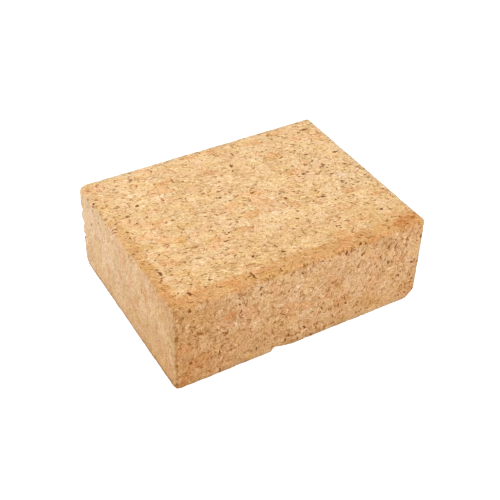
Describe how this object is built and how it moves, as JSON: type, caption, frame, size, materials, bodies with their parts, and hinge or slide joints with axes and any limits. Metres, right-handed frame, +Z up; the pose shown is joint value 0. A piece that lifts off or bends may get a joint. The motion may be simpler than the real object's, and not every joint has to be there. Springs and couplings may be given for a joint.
{
  "type": "sanding block",
  "caption": "Rectangular block of bonded cork granules with eased edges, held in the hand to back a sheet of abrasive paper while sanding.",
  "frame": {"origin": "centre of the bottom (working) face, on the surface that the block rests on", "axes": "+X along the block's long side, +Y across its width towards the back, +Z up from the working face to the top face"},
  "size_m": [0.11, 0.085, 0.04],
  "materials": {
    "bonded_cork": "matte"
  },
  "bodies": {
    "root": {"cork_block": "bonded_cork"}
  },
  "joints": []
}
